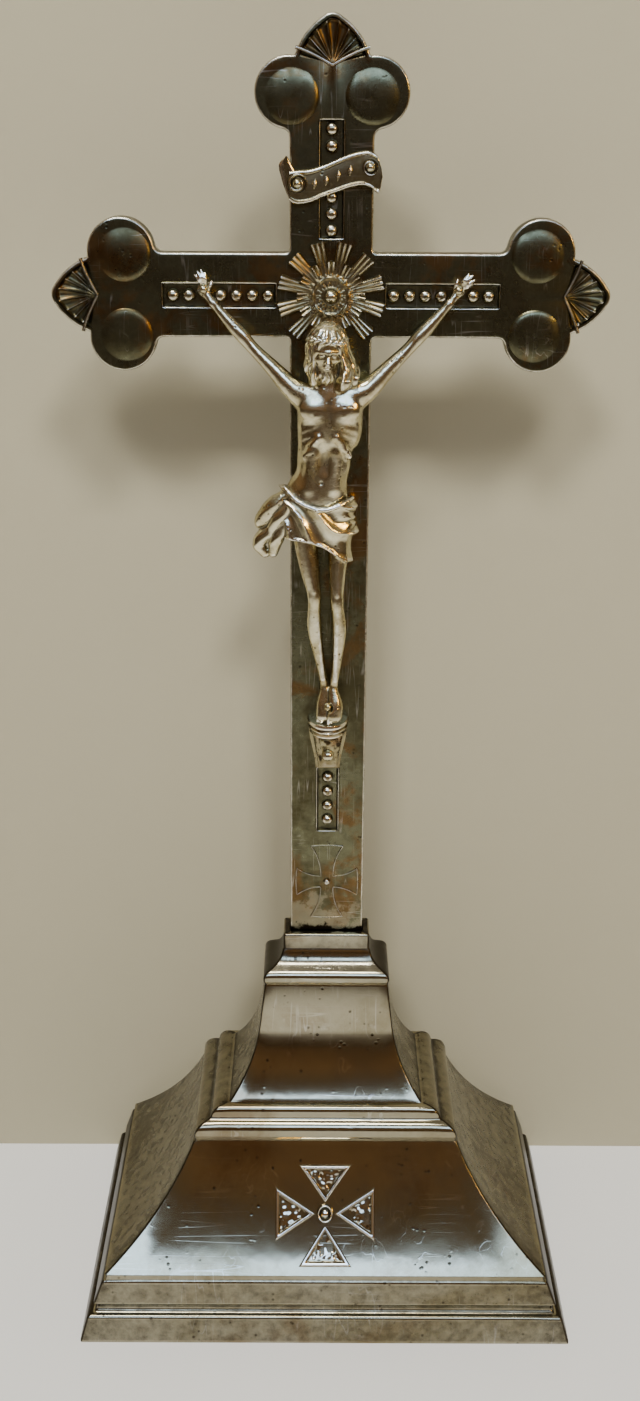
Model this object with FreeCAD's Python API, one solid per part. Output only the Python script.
"""Altar cross: hollow moulded base, flat cross with cast ornament, and a small figure held by nails.

Frame: origin under the middle of the base, +X to the right of the figure's viewer, +Y to the back, +Z up.
The front of the cross faces -Y. All sizes are in millimetres.
"""
import FreeCAD, Part
import math
import os
from FreeCAD import Vector

# ---- base: overall sizes
base_width = 121.0
base_depth = 77.5
base_height = 95.5
base_wall = 2.2

# ---- base: mouldings, each level as (inset from the foot in x, inset in y, height above the table)
lower_band_top = (1.9, 1.0, 7.1)
groove_foot = (3.2, 2.2, 7.1)
groove_top = (4.2, 3.0, 9.9)
upper_band_foot = (3.5, 1.9, 9.9)
upper_band_top = (5.7, 2.6, 16.2)
fillet_top = (6.3, 2.9, 18.1)

# ---- base: mouldings near the top, each as (outset from the rim in x, in y, depth below the rim's top)
ovolo_foot = (22.3, 15.4, 50.0)
upper_bead_foot = (18.1, 13.7, 44.2)
flare_foot = (13.4, 11.3, 41.0)
neck_foot = (6.1, 4.4, 24.5)
nose_foot = (4.6, 3.9, 11.8)
nose = (5.1, 4.4, 10.0)
cavetto_foot = (1.8, 1.9, 7.5)
rim_height = 4.0

# ---- base: bulge of each curved moulding (positive swells out, negative hollows in), in x and in y
sweep_bulge = (-2.5, -0.9)
ovolo_bulge = (1.5, 1.2)
upper_bead_bulge = (1.2, 0.9)
flare_bulge = (-1.2, -0.9)
cavetto_bulge = (-0.4, -0.4)

# ---- base: pocket for the foot of the cross, and the floor below it
pocket_depth = 27.5
pocket_floor = 5.0
pocket_clearance = 0.1
rim_lip_x = 1.65
rim_lip_y = 2.15

# ---- base: raised emblem on the front sweep, a cross of four triangles around a ring
emblem_below_middle = 1.7
emblem_reach_x = 12.3
emblem_reach_z = 10.5
emblem_half_end = 6.7
emblem_apex = 2.0
emblem_relief = 0.8
emblem_ring_r = 1.7

# ---- cross
bar_above_base = 153.5
top_above_bar = 56.0
cross_span = 120.0
bar_width = 17.7
plate_thickness = 4.5

# ---- cross: ends, measured from each tip inwards and across
lobe_from_tip = 15.2
lobe_offset = 8.9
lobe_r = 7.2
lobe_dome = 1.0
lobe_edge = 0.8
tip_r = 3.0
shell_start = 8.1
shell_half = 7.8
shell_mid = (3.4, 5.1)
shell_hollow = 0.7
shell_rib = 0.6
shell_ribs = 7
shell_apex = 9.2
shell_fan = 120.0
shell_border = 0.9
rib_start = 1.5
rib_root_share = 0.4

# ---- cross: channels with beads
channel_half = 2.4
channel_depth = 0.6
ridge_width = 0.35
ridge_height = 0.3
arm_channel = (11.9, 36.0)
bead_r = 1.25
bead_margin = 0.3
bead_pitch = 3.4
arm_beads = 7
nailed_bead = 4
upper_channel_end = 20.6
upper_beads_low = 4
upper_beads_high = 2
lower_channel_gap = 0.4
lower_channel_length = 16.5
lower_beads = 4
lower_bead_pitch = 3.7

# ---- cross: small outlined cross on the shaft
crosslet_above_base = 13.5
crosslet_half_x = 7.3
crosslet_half_z = 9.6
crosslet_waist = 1.5
crosslet_end_x = 3.6
crosslet_end_z = 3.9
crosslet_line = 0.45
crosslet_relief = 0.25
crosslet_boss_r = 0.8

# ---- fixing inside the base
stud_d = 3.0
stud_in_cross = 10.0
stud_below_floor = 6.0
stud_clearance = 0.2
washer_d = 9.0
washer_t = 0.8
nut_across_flats = 5.5
nut_t = 2.4

# ---- rivets and nails
pin_clearance = 0.05
tail_r = 1.3
tail_t = 0.7

# ---- scroll
scroll_above_bar = 24.2
scroll_t = 1.2
scroll_curl_r = 2.2
scroll_curl_t = 2.0
scroll_curls = ((-7.2, -1.2), (8.0, 2.1))
scroll_outline = ((-10.0, 4.3), (-11.0, 2.7), (-9.4, -1.2), (-8.8, -4.9), (-5.3, -5.1), (-1.8, -3.8),
                  (4.2, -1.8), (9.7, -3.1), (10.6, 0.3), (9.2, 4.5), (3.3, 4.5), (-1.9, 2.3),
                  (-7.4, 1.3), (-8.8, 3.6))
scroll_rivet_r = 0.55
scroll_head_r = 1.0

# ---- sunburst
glory_rays = 12
glory_long_r = 11.5
glory_short_r = 7.4
glory_hub_r = 4.5
glory_t = 1.3
ray_root_half = 0.85
ray_tip_half = 1.45
ray_root_r = 3.0
glory_shank_r = 0.8
glory_boss_r = 1.5

# ---- figure: (x, distance in front of the cross, height above the bar) of its joints, and the limbs' radii
hand_out = 2.1
hand_up = 1.6
hand_r = 1.5
shoulder = (7.0, 5.0, -19.8)
shoulder_r = 2.8
neck = (-0.4, 5.6, -18.6)
neck_r = 2.6
nape = (-0.9, 6.0, -13.0)
head = (-0.9, 7.0, -10.0)
head_r = (4.3, 4.6, 5.7)
chest = (0.0, 4.6, -25.4)
chest_r = (8.0, 4.3, 7.4)
belly = (-1.6, 4.2, -34.4)
belly_r = (6.9, 3.9, 8.0)
hips = (-2.2, 3.9, -46.0)
hips_r = (7.9, 4.6, 8.4)
knot = (-13.0, 2.6, -49.4)
knot_r = (3.4, 2.4, 8.2)
thigh_tops = ((-5.6, 4.2, -50.0), (1.6, 4.2, -50.0))
thigh_r = 4.0
knees = ((-4.2, 7.2, -65.4), (1.9, 6.9, -66.6))
knee_r = 3.0
calves = ((-3.9, 4.4, -74.0), (1.7, 4.3, -74.0))
calf_r = 2.5
ankles = ((-1.1, 3.6, -87.6), (1.2, 4.4, -88.0))
ankle_r = 1.4
toes = ((-0.7, 4.7, -94.8), (0.9, 5.3, -95.0))
toe_r = 1.6
web_half = 3.1
web_t = 3.6
over_gap = 0.3

# ---- figure: between shoulder and hand, each as (share of the way in x, distance in front of the cross,
# height above the bar, radius)
wrist = (0.915, 2.7, -0.8, 1.25)
forearm = (0.69, 3.4, -6.6, 1.9)
elbow = (0.50, 3.9, -10.4, 1.6)

# ---- figure: nails
nail_r = 0.5
nail_head_r = 0.95
nail_sink = 0.4
foot_nail_below_bar = 92.0
foot_nail_out = 6.0

# ---- bracket under the feet
foot_rest_below_bar = 96.4
foot_rest_lip = 3.6
foot_rest_length = 12.8
foot_rest_half = 4.9
foot_rest_reach = 7.2
foot_rest_foot_half = 2.6
foot_rest_foot_t = 1.0
foot_rest_rivet_down = 9.2
foot_rest_rivet_r = 0.8
foot_rest_knob_r = 1.5
foot_rest_knob_out = 2.2
corbel_reach = 4.6
corbel_front = 0.75

# ---- worked out from the sizes above
front_y = -plate_thickness / 2
back_y = plate_thickness / 2
rim_half_x = bar_width / 2 + pocket_clearance + rim_lip_x
rim_half_y = plate_thickness / 2 + pocket_clearance + rim_lip_y
pocket_z = base_height - pocket_depth
ceiling_z = pocket_z - pocket_floor
bar_half = bar_width / 2
bar_z = base_height + bar_above_base
cross_height = bar_z + top_above_bar
sweep_top_z = base_height - ovolo_foot[2]
emblem_z = (fillet_top[2] + sweep_top_z) / 2 - emblem_below_middle
crosslet_z = base_height + crosslet_above_base
scroll_z = bar_z + scroll_above_bar
foot_rest_top = bar_z - foot_rest_below_bar
foot_rest_bottom = foot_rest_top - foot_rest_length
foot_rest_rivet_z = foot_rest_top - foot_rest_rivet_down
lower_channel_top = foot_rest_bottom - lower_channel_gap
first_bead = arm_channel[0] + bead_r + bead_margin
hand_x = first_bead + nailed_bead * bead_pitch
hand_z = bar_z + hand_up
hand_nail_y = front_y - hand_out - hand_r + nail_sink
foot_nail_z = bar_z - foot_nail_below_bar
foot_nail_y = front_y - foot_nail_out


# ---------------------------------------------------------------- helpers
def box(x0, x1, y0, y1, z0, z1):
    return Part.makeBox(x1 - x0, y1 - y0, z1 - z0, Vector(x0, y0, z0))


def line(p, q):
    return Part.makeLine(p, q)


def bulged(p, q, bulge):
    """An arc from p to q whose middle stands `bulge` to the right of the way from p to q."""
    chord = q - p
    side = Vector(chord.z, 0, -chord.x).normalize()
    return Part.Arc(p, (p + q) * 0.5 + side * bulge, q).toShape()


def face_xz(edges):
    return Part.Face(Part.Wire(Part.sortEdges(edges)[0]))


def polygon_xz(points, y=0.0):
    ring = [Vector(x, y, z) for x, z in points]
    return Part.Face(Part.makePolygon(ring + ring[:1]))


def along_y(face, y0, y1):
    """A face drawn in the plane y = 0, carried from y0 to y1."""
    moved = face.copy()
    moved.translate(Vector(0, y0, 0))
    return moved.extrude(Vector(0, y1 - y0, 0))


def rod_y(x, z, r, y0, y1):
    return Part.makeCylinder(r, y1 - y0, Vector(x, y0, z), Vector(0, 1, 0))


def rod_z(r, z0, z1):
    return Part.makeCylinder(r, z1 - z0, Vector(0, 0, z0), Vector(0, 0, 1))


def fused(shapes):
    shapes = list(shapes)
    whole = shapes[0].multiFuse(shapes[1:]) if len(shapes) > 1 else shapes[0]
    return whole.removeSplitter()


def ellipsoid(centre, radii):
    ball = Part.makeSphere(1.0)
    stretch = FreeCAD.Matrix()
    stretch.scale(Vector(*radii))
    ball = ball.transformGeometry(stretch)
    ball.translate(centre)
    return ball


def fused_in_turn(shapes):
    """For shapes that cut through each other at shallow angles, one at a time is the sure way."""
    whole = shapes[0]
    for shape in shapes[1:]:
        whole = whole.fuse(shape)
    return whole.removeSplitter()


def limb(joints):
    """Balls at the joints, each a (place, radius), and tapered lengths between them."""
    pieces = [Part.makeSphere(r, place) for place, r in joints]
    for (p, r_p), (q, r_q) in zip(joints, joints[1:]):
        way = q - p
        if abs(r_p - r_q) > 1e-6:
            pieces.append(Part.makeCone(r_p, r_q, way.Length, p, way))
        else:
            pieces.append(Part.makeCylinder(r_p, way.Length, p, way))
    return pieces


def before_cross(place):
    """A joint given as (x, distance in front of the cross, height above the bar)."""
    return Vector(place[0], front_y - place[1], bar_z + place[2])


# ---------------------------------------------------------------- base
def outer_profile(side, extra=0.0):
    """Half the base's outline in the plane y = 0: side 0 is its width, side 1 its depth."""
    foot = (base_width, base_depth)[side] / 2
    rim = (rim_half_x, rim_half_y)[side]

    def low(level):
        return Vector(foot - level[side], 0, level[2])

    def high(level):
        return Vector(rim + level[side], 0, base_height - level[2])

    rim_foot = Vector(rim, 0, base_height - rim_height)
    rim_top = Vector(rim, 0, base_height)
    sweep_foot = low(fillet_top) + Vector(extra, 0, 0)
    sweep_top = high(ovolo_foot) + Vector(extra, 0, 0)
    edges = [
        line(Vector(0, 0, 0), Vector(foot, 0, 0)),
        line(Vector(foot, 0, 0), low(lower_band_top)),
        line(low(lower_band_top), low(groove_foot)),
        line(low(groove_foot), low(groove_top)),
        line(low(groove_top), low(upper_band_foot)),
        line(low(upper_band_foot), low(upper_band_top)),
        line(low(upper_band_top), low(fillet_top)),
        bulged(sweep_foot, sweep_top, sweep_bulge[side]),
        bulged(high(ovolo_foot), high(upper_bead_foot), ovolo_bulge[side]),
        bulged(high(upper_bead_foot), high(flare_foot), upper_bead_bulge[side]),
        bulged(high(flare_foot), high(neck_foot), flare_bulge[side]),
        line(high(neck_foot), high(nose_foot)),
        Part.Arc(high(nose_foot), high(nose), high(cavetto_foot)).toShape(),
        bulged(high(cavetto_foot), rim_foot, cavetto_bulge[side]),
        line(rim_foot, rim_top),
        line(rim_top, Vector(0, 0, base_height)),
        line(Vector(0, 0, base_height), Vector(0, 0, 0)),
    ]
    if extra:
        edges += [line(low(fillet_top), sweep_foot), line(sweep_top, high(ovolo_foot))]
    return edges


def inner_profile(side):
    """Half the outline of the hollow, one wall inside the mouldings."""
    foot = (base_width, base_depth)[side] / 2
    rim = (rim_half_x, rim_half_y)[side]
    sweep_foot = Vector(foot - fillet_top[side], 0, fillet_top[2])
    sweep_top = Vector(rim + ovolo_foot[side], 0, base_height - ovolo_foot[2])
    chord = sweep_top - sweep_foot
    inwards = Vector(-chord.z, 0, chord.x).normalize() * base_wall
    hollow_foot = sweep_foot + inwards
    hollow_top = sweep_top + inwards
    wall_x = hollow_foot.x
    shelf = Vector(rim + flare_foot[side] - base_wall * 1.2, 0, base_height - flare_foot[2] - base_wall)
    ceiling_part = (ceiling_z - (base_height - flare_foot[2])) / (flare_foot[2] - neck_foot[2])
    ceiling_out = flare_foot[side] + (neck_foot[side] - flare_foot[side]) * ceiling_part
    ceiling = Vector(rim + ceiling_out - base_wall * 1.5, 0, ceiling_z)
    points = [Vector(0, 0, 0), Vector(wall_x, 0, 0), hollow_foot]
    tail = [hollow_top, shelf, ceiling, Vector(0, 0, ceiling_z), Vector(0, 0, 0)]
    edges = [line(a, b) for a, b in zip(points, points[1:])]
    edges.append(bulged(hollow_foot, hollow_top, sweep_bulge[side]))
    edges += [line(a, b) for a, b in zip(tail, tail[1:])]
    return edges


def both_halves(edges, reach):
    """A half outline and its mirror image, carried from -reach to reach."""
    half = face_xz(edges)
    other = half.mirror(Vector(), Vector(1, 0, 0))
    return fused([along_y(half, -reach, reach), along_y(other, -reach, reach)])


def mitred(width_edges, depth_edges):
    """The body whose front view is one outline and whose side view is the other, with mitred corners."""
    front_view = both_halves(width_edges, base_depth)
    side_view = both_halves(depth_edges, base_width)
    side_view.rotate(Vector(), Vector(0, 0, 1), 90)
    return front_view.common(side_view)


def emblem():
    """Four triangles and a ring, standing off the front sweep."""
    arms = []
    for turn in range(4):
        reach = emblem_reach_x if turn % 2 == 0 else emblem_reach_z
        end = emblem_half_end * (emblem_reach_z / emblem_reach_x if turn % 2 == 0 else 1.0)
        a = math.radians(90 * turn)
        out = Vector(math.cos(a), 0, math.sin(a))
        across = Vector(-math.sin(a), 0, math.cos(a))
        middle = Vector(0, 0, emblem_z)
        corners = [middle + out * emblem_apex, middle + out * reach + across * end,
                   middle + out * reach - across * end]
        arms.append(along_y(polygon_xz([(p.x, p.z) for p in corners]), -base_depth / 2, 0))
    ring = rod_y(0, emblem_z, emblem_ring_r, -base_depth / 2, 0)
    reach = emblem_reach_x + 1
    raised = mitred(outer_profile(0, emblem_relief), outer_profile(1, emblem_relief))
    zone = box(-reach, reach, -base_depth / 2, 0, emblem_z - reach, emblem_z + reach)
    raised = raised.common(zone)
    return [raised.common(shape) for shape in arms + [ring]]


def base_shell():
    outer = mitred(outer_profile(0), outer_profile(1))
    outer = fused([outer] + emblem())
    hollow = mitred(inner_profile(0), inner_profile(1))
    pocket = box(-bar_half - pocket_clearance, bar_half + pocket_clearance,
                 front_y - pocket_clearance, back_y + pocket_clearance, pocket_z, base_height + 1)
    stud_hole = rod_z(stud_d / 2 + stud_clearance, ceiling_z - 1, pocket_z + 1)
    return outer.cut(hollow).cut(pocket).cut(stud_hole)


# ---------------------------------------------------------------- cross
def ends():
    """Each end as (tip, direction inwards, direction across), all in the plane of the cross."""
    return [
        (Vector(0, 0, cross_height), Vector(0, 0, -1), Vector(1, 0, 0)),
        (Vector(-cross_span / 2, 0, bar_z), Vector(1, 0, 0), Vector(0, 0, 1)),
        (Vector(cross_span / 2, 0, bar_z), Vector(-1, 0, 0), Vector(0, 0, -1)),
    ]


def at(end, inwards, across):
    tip, along, side = end
    return tip + along * inwards + side * across


def shell_face(end, shrink=0.0):
    """The shell: a rounded point with two swelling sides, closed straight across behind them."""
    tip_x = tip_r + (tip_r - shrink) * math.cos(math.radians(137))
    tip_w = (tip_r - shrink) * math.sin(math.radians(137))
    start = (shell_start + shrink * 0.5, shell_half - shrink)
    mid = (shell_mid[0] + shrink, shell_mid[1] - shrink * 0.6)
    back = lobe_from_tip if not shrink else shell_apex
    sides = []
    for sign in (1, -1):
        sides.append(Part.Arc(at(end, start[0], sign * start[1]), at(end, mid[0], sign * mid[1]),
                              at(end, tip_x, sign * tip_w)).toShape())
    nose_arc = Part.Arc(at(end, tip_x, tip_w), at(end, shrink, 0), at(end, tip_x, -tip_w)).toShape()
    if shrink:
        closing = [line(at(end, start[0], start[1]), at(end, back, 0)),
                   line(at(end, back, 0), at(end, start[0], -start[1]))]
    else:
        closing = [line(at(end, start[0], start[1]), at(end, back, start[1])),
                   line(at(end, back, start[1]), at(end, back, -start[1])),
                   line(at(end, back, -start[1]), at(end, start[0], -start[1]))]
    return face_xz(sides + [nose_arc] + closing)


def outline():
    """The flat cross: a shaft, a bar, and the lobes and shell of each end."""
    end_to_lobe = lobe_from_tip - 2
    pieces = [
        box(-bar_half, bar_half, front_y, back_y, pocket_z, cross_height - end_to_lobe),
        box(-cross_span / 2 + end_to_lobe, cross_span / 2 - end_to_lobe, front_y, back_y,
            bar_z - bar_half, bar_z + bar_half),
    ]
    for end in ends():
        pieces.append(along_y(shell_face(end), front_y, back_y))
        for sign in (1, -1):
            middle = at(end, lobe_from_tip, sign * lobe_offset)
            pieces.append(rod_y(middle.x, middle.z, lobe_r, front_y, back_y))
    return fused(pieces)


def lobe_domes():
    """A low dome on each lobe, a slice of a large ball."""
    span = lobe_r - lobe_edge
    ball_r = (span ** 2 + lobe_dome ** 2) / (2 * lobe_dome)
    domes = []
    for end in ends():
        for sign in (1, -1):
            middle = at(end, lobe_from_tip, sign * lobe_offset)
            centre = Vector(middle.x, front_y - lobe_dome + ball_r, middle.z)
            ball = Part.makeSphere(ball_r, centre)
            keep = rod_y(middle.x, middle.z, lobe_r, front_y - lobe_dome - 1, front_y + 0.2)
            domes.append(ball.common(keep))
    return domes


def shell_hollows():
    """What is taken out of each shell, leaving ribs that spread from its apex."""
    hollows = []
    for end in ends():
        hollow = along_y(shell_face(end, shell_border), front_y - 1, front_y + shell_hollow)
        apex = at(end, shell_apex, 0)
        ribs = []
        for k in range(shell_ribs):
            angle = math.radians(shell_fan * (k / (shell_ribs - 1) - 0.5))
            out = end[1] * -math.cos(angle) + end[2] * math.sin(angle)
            side = end[1] * math.sin(angle) + end[2] * math.cos(angle)
            root = apex + out * rib_start
            tip = apex + out * lobe_from_tip
            half = shell_rib / 2
            corners = [root + side * half * rib_root_share, tip + side * half,
                       tip - side * half, root - side * half * rib_root_share]
            ribs.append(along_y(polygon_xz([(p.x, p.z) for p in corners]), front_y - 2, front_y + 2))
        hollows.append(hollow.cut(fused(ribs)))
    return hollows


def channel_spans():
    """Each channel as (x0, x1, z0, z1) of its floor."""
    near, far = arm_channel
    upper = (bar_z + near, cross_height - upper_channel_end)
    return [
        (-far, -near, bar_z - channel_half, bar_z + channel_half),
        (near, far, bar_z - channel_half, bar_z + channel_half),
        (-channel_half, channel_half, upper[0], upper[1]),
        (-channel_half, channel_half, lower_channel_top - lower_channel_length, lower_channel_top),
    ]


def bead_places():
    """Middle of every bead as (x, z)."""
    arm = [first_bead + bead_pitch * k for k in range(arm_beads) if k != nailed_bead]
    places = [(sign * x, bar_z) for x in arm for sign in (1, -1)]
    low = bar_z + first_bead
    places += [(0, low + bead_pitch * k) for k in range(upper_beads_low)]
    high = cross_height - upper_channel_end - bead_r - bead_margin
    places += [(0, high - bead_pitch * k) for k in range(upper_beads_high)]
    middle = lower_channel_top - lower_channel_length / 2
    step = lower_bead_pitch
    places += [(0, middle + step * (k - (lower_beads - 1) / 2)) for k in range(lower_beads)]
    return places


def channel_work():
    """Ridges and beads to add, floors to take out."""
    floors, ridges = [], []
    w, h = ridge_width, ridge_height
    for x0, x1, z0, z1 in channel_spans():
        floors.append(box(x0, x1, front_y - 1, front_y + channel_depth, z0, z1))
        around = box(x0 - w, x1 + w, front_y - h, front_y + 0.2, z0 - w, z1 + w)
        ridges.append(around.cut(box(x0, x1, front_y - 1, front_y + 1, z0, z1)))
    beads = []
    floor_y = front_y + channel_depth
    for x, z in bead_places():
        ball = Part.makeSphere(bead_r, Vector(x, floor_y, z))
        beads.append(ball.common(box(x - 2, x + 2, floor_y - 2, floor_y + 0.2, z - 2, z + 2)))
    return floors, ridges, beads


def crosslet_face(shrink=0.0):
    """A cross whose arms widen outwards with hollow sides."""
    points = []
    for turn in range(4):
        a = math.radians(90 * turn)
        out = Vector(math.cos(a), 0, math.sin(a))
        across = Vector(-math.sin(a), 0, math.cos(a))
        reach = (crosslet_half_x, crosslet_half_z)[turn % 2] - shrink
        end = (crosslet_end_x, crosslet_end_z)[turn % 2] - shrink * 1.3
        waist = crosslet_waist - shrink
        middle = Vector(0, 0, crosslet_z)
        bend = middle + out * (reach * 0.62) + across * (waist * 1.15)
        bend_low = middle + out * (reach * 0.62) - across * (waist * 1.15)
        points.append((middle + out * waist - across * waist, bend_low, middle + out * reach - across * end,
                       middle + out * reach + across * end, bend, middle + out * waist + across * waist))
    edges = []
    for p in points:
        edges.append(Part.Arc(p[0], p[1], p[2]).toShape())
        edges.append(line(p[2], p[3]))
        edges.append(Part.Arc(p[3], p[4], p[5]).toShape())
    return face_xz(edges)


def crosslet():
    relief = along_y(crosslet_face(), front_y - crosslet_relief, front_y + 0.2)
    inside = along_y(crosslet_face(crosslet_line), front_y - 1, front_y + 1)
    boss = Part.makeSphere(crosslet_boss_r, Vector(0, front_y, crosslet_z))
    return [relief.cut(inside), boss]


def pin_holes():
    """Holes for every rivet and nail, drilled right through the cross."""
    places = [(x, scroll_z + z, scroll_rivet_r) for x, z in scroll_curls]
    places.append((0, bar_z, glory_shank_r))
    places += [(sign * hand_x, hand_z, nail_r) for sign in (1, -1)]
    places.append((0, foot_nail_z, nail_r))
    places.append((0, foot_rest_rivet_z, foot_rest_rivet_r))
    return places


def cross_plate():
    floors, ridges, beads = channel_work()
    plate = outline().cut(Part.makeCompound(floors))
    for hollow in shell_hollows():
        plate = plate.cut(hollow)
    plate = fused([plate] + lobe_domes() + ridges + beads + crosslet())
    for x, z, r in pin_holes():
        plate = plate.cut(rod_y(x, z, r + pin_clearance, front_y - 3, back_y + 3))
    return plate.cut(rod_z(stud_d / 2, pocket_z - 1, pocket_z + stud_in_cross))


# ---------------------------------------------------------------- fixing inside the base
def mounting_stud():
    return rod_z(stud_d / 2, ceiling_z - stud_below_floor, pocket_z + stud_in_cross)


def mounting_washer():
    disc = rod_z(washer_d / 2, ceiling_z - washer_t, ceiling_z)
    return disc.cut(rod_z(stud_d / 2 + stud_clearance, ceiling_z - washer_t - 1, ceiling_z + 1))


def mounting_nut():
    top = ceiling_z - washer_t
    corner = nut_across_flats / math.sqrt(3)
    turns = [math.radians(60 * k) for k in range(7)]
    ring = [Vector(corner * math.cos(a), corner * math.sin(a), top - nut_t) for a in turns]
    prism = Part.Face(Part.makePolygon(ring)).extrude(Vector(0, 0, nut_t))
    return prism.cut(rod_z(stud_d / 2, top - nut_t - 1, top + 1))


# ---------------------------------------------------------------- pins
def pin(x, z, r, head_r, head_y):
    """A shank through the cross with a domed head at head_y in front and a flat tail behind."""
    shank = rod_y(x, z, r, head_y, back_y)
    tail = rod_y(x, z, tail_r, back_y, back_y + tail_t)
    head = Part.makeSphere(head_r, Vector(x, head_y, z))
    head = head.common(box(x - 4, x + 4, head_y - 4, head_y, z - 4, z + 4))
    return fused([shank, tail, head])


def scroll_rivets():
    top = front_y - scroll_curl_t
    pair = [pin(x, scroll_z + z, scroll_rivet_r, scroll_head_r, top) for x, z in scroll_curls]
    return Part.makeCompound(pair)


def glory_rivet():
    return pin(0, bar_z, glory_shank_r, glory_boss_r, front_y - glory_t)


def hand_nails():
    pair = [pin(sign * hand_x, hand_z, nail_r, nail_head_r, hand_nail_y) for sign in (1, -1)]
    return Part.makeCompound(pair)


def foot_nail():
    return pin(0, foot_nail_z, nail_r, nail_head_r, foot_nail_y)


def foot_rest_rivet():
    return pin(0, foot_rest_rivet_z, foot_rest_rivet_r, foot_rest_knob_r, front_y - foot_rest_knob_out)


# ---------------------------------------------------------------- ornaments
def scroll_plaque():
    """An S-shaped ribbon with a curl at each end, standing off the cross by its own thickness."""
    ribbon = along_y(polygon_xz([(x, scroll_z + z) for x, z in scroll_outline]), front_y - scroll_t, front_y)
    top = front_y - scroll_curl_t
    curls = [rod_y(x, scroll_z + z, scroll_curl_r, top, front_y) for x, z in scroll_curls]
    plaque = fused([ribbon] + curls)
    channel_top = cross_height - upper_channel_end + ridge_width + pin_clearance
    w = channel_half + ridge_width + pin_clearance
    plaque = plaque.cut(box(-w, w, front_y - ridge_height - pin_clearance, front_y + 1, bar_z, channel_top))
    for x, z in bead_places():
        if x == 0 and z > bar_z:
            bead = Part.makeSphere(bead_r + pin_clearance, Vector(x, front_y + channel_depth, z))
            plaque = plaque.cut(bead)
    for x, z in scroll_curls:
        hole = rod_y(x, scroll_z + z, scroll_rivet_r + pin_clearance, front_y - 4, front_y + 1)
        plaque = plaque.cut(hole)
    return plaque


def ray(angle, reach, root_half, tip_half):
    out = Vector(math.cos(angle), 0, math.sin(angle))
    side = Vector(-math.sin(angle), 0, math.cos(angle))
    middle = Vector(0, 0, bar_z)
    corners = [middle + out * ray_root_r + side * root_half, middle + out * reach + side * tip_half,
               middle + out * reach - side * tip_half, middle + out * ray_root_r - side * root_half]
    return along_y(polygon_xz([(p.x, p.z) for p in corners]), front_y - glory_t, front_y)


def sunburst():
    step = 2 * math.pi / glory_rays
    pieces = [rod_y(0, bar_z, glory_hub_r, front_y - glory_t, front_y)]
    for k in range(glory_rays):
        pieces.append(ray(step * (k + 0.5), glory_long_r, ray_root_half, ray_tip_half))
        pieces.append(ray(step * k, glory_short_r, ray_root_half, ray_root_half * 1.2))
    whole = fused(pieces)
    return whole.cut(rod_y(0, bar_z, glory_shank_r + pin_clearance, front_y - 4, front_y + 1))


def foot_rest():
    """A half-round lip on a bracket that tapers down and in to the cross."""
    lip_bottom = foot_rest_top - foot_rest_lip
    arc = Part.Arc(Vector(foot_rest_half, front_y, lip_bottom),
                   Vector(0, front_y - foot_rest_reach, lip_bottom),
                   Vector(-foot_rest_half, front_y, lip_bottom)).toShape()
    closing = line(Vector(-foot_rest_half, front_y, lip_bottom), Vector(foot_rest_half, front_y, lip_bottom))
    lip = Part.Face(Part.Wire([arc, closing])).extrude(Vector(0, 0, foot_rest_lip))
    sections = []
    for half, reach, z in ((foot_rest_half, corbel_reach, lip_bottom),
                           (foot_rest_foot_half, foot_rest_foot_t, foot_rest_bottom)):
        front_half = half * corbel_front
        ring = [Vector(-half, front_y, z), Vector(half, front_y, z),
                Vector(front_half, front_y - reach, z), Vector(-front_half, front_y - reach, z)]
        sections.append(Part.makePolygon(ring + ring[:1]))
    rest = fused([lip, Part.makeLoft(sections, True, True)])
    head_y = front_y - foot_rest_knob_out
    rest = rest.cut(rod_y(0, foot_rest_rivet_z, foot_rest_rivet_r + pin_clearance, front_y - 9, front_y + 1))
    return rest.cut(rod_y(0, foot_rest_rivet_z, foot_rest_knob_r + pin_clearance, front_y - 9, head_y))


# ---------------------------------------------------------------- figure
def arm_joints(sign):
    """Hand to shoulder of one arm; the joints between keep their share of the way."""
    joints = [((sign * hand_x, hand_out, hand_up), hand_r)]
    for share, out, up, r in (wrist, forearm, elbow):
        x = shoulder[0] + share * (hand_x - shoulder[0])
        joints.append(((sign * x, out, up), r))
    joints.append(((sign * shoulder[0], shoulder[1], shoulder[2]), shoulder_r))
    return [(before_cross(place), r) for place, r in joints]


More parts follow.
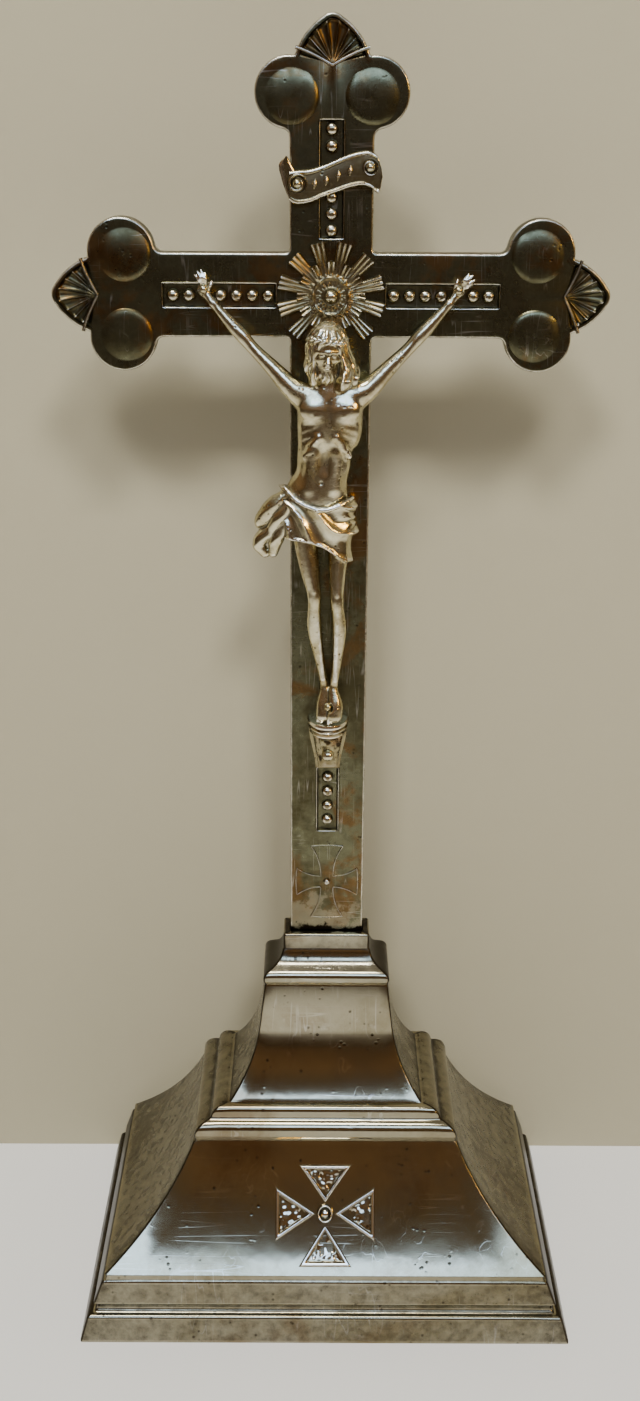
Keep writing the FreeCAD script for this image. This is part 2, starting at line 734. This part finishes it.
def figure_parts():
    parts = limb(arm_joints(1)) + limb(arm_joints(-1))
    masses = ((chest, chest_r), (belly, belly_r), (hips, hips_r), (knot, knot_r), (head, head_r))
    for centre, radii in masses:
        parts.append(ellipsoid(before_cross(centre), radii))
    parts += limb([(before_cross(neck), neck_r), (before_cross(nape), neck_r)])
    for side in (0, 1):
        chain = [(thigh_tops[side], thigh_r), (knees[side], knee_r), (calves[side], calf_r),
                 (ankles[side], ankle_r), (toes[side], toe_r)]
        parts += limb([(before_cross(p), r) for p, r in chain])
    parts.append(box(-web_half, web_half, front_y - web_t, front_y, foot_nail_z - 1, bar_z + hips[2]))
    return parts


def corpus():
    whole = fused_in_turn(figure_parts())
    side = hand_x + 2 * hand_r
    sole = foot_rest_top
    rays_foot = bar_z - glory_long_r - over_gap
    over_beads = bead_r - channel_depth + over_gap
    takes = [
        box(-side, side, front_y, front_y + 30, sole - 10, bar_z + bar_half),
        box(-side, side, front_y - over_beads, front_y + 1, bar_z - channel_half - 1, bar_z + bar_half),
        box(-glory_long_r, glory_long_r, front_y - glory_t - over_gap, front_y + 1,
            rays_foot, bar_z + bar_half),
        box(-2 * web_half, 2 * web_half, front_y - foot_rest_reach - 9, front_y + 1, sole - 10, sole),
    ]
    for take in takes:
        whole = whole.cut(take)
    nails = ((hand_x, hand_z, hand_nail_y), (-hand_x, hand_z, hand_nail_y), (0, foot_nail_z, foot_nail_y))
    for x, z, head_y in nails:
        whole = whole.cut(rod_y(x, z, nail_r + pin_clearance, head_y, front_y + 1))
        whole = whole.cut(rod_y(x, z, nail_head_r + pin_clearance, front_y - 20, head_y))
    return whole


# ---------------------------------------------------------------- write every piece
nodes = {
    "base_shell": base_shell,
    "cross_plate": cross_plate,
    "mounting_stud": mounting_stud,
    "mounting_washer": mounting_washer,
    "mounting_nut": mounting_nut,
    "scroll_plaque": scroll_plaque,
    "scroll_rivets": scroll_rivets,
    "glory_rays": sunburst,
    "glory_rivet": glory_rivet,
    "corpus": corpus,
    "hand_nails": hand_nails,
    "foot_nail": foot_nail,
    "foot_rest": foot_rest,
    "foot_rest_rivet": foot_rest_rivet,
}

os.makedirs("parts", exist_ok=True)
for name, make in nodes.items():
    shape = make()
    shape.exportStep("parts/" + name + ".step")
    print("%-16s solids %d, valid %s, %.1f mm3" % (name, len(shape.Solids), shape.isValid(), shape.Volume))
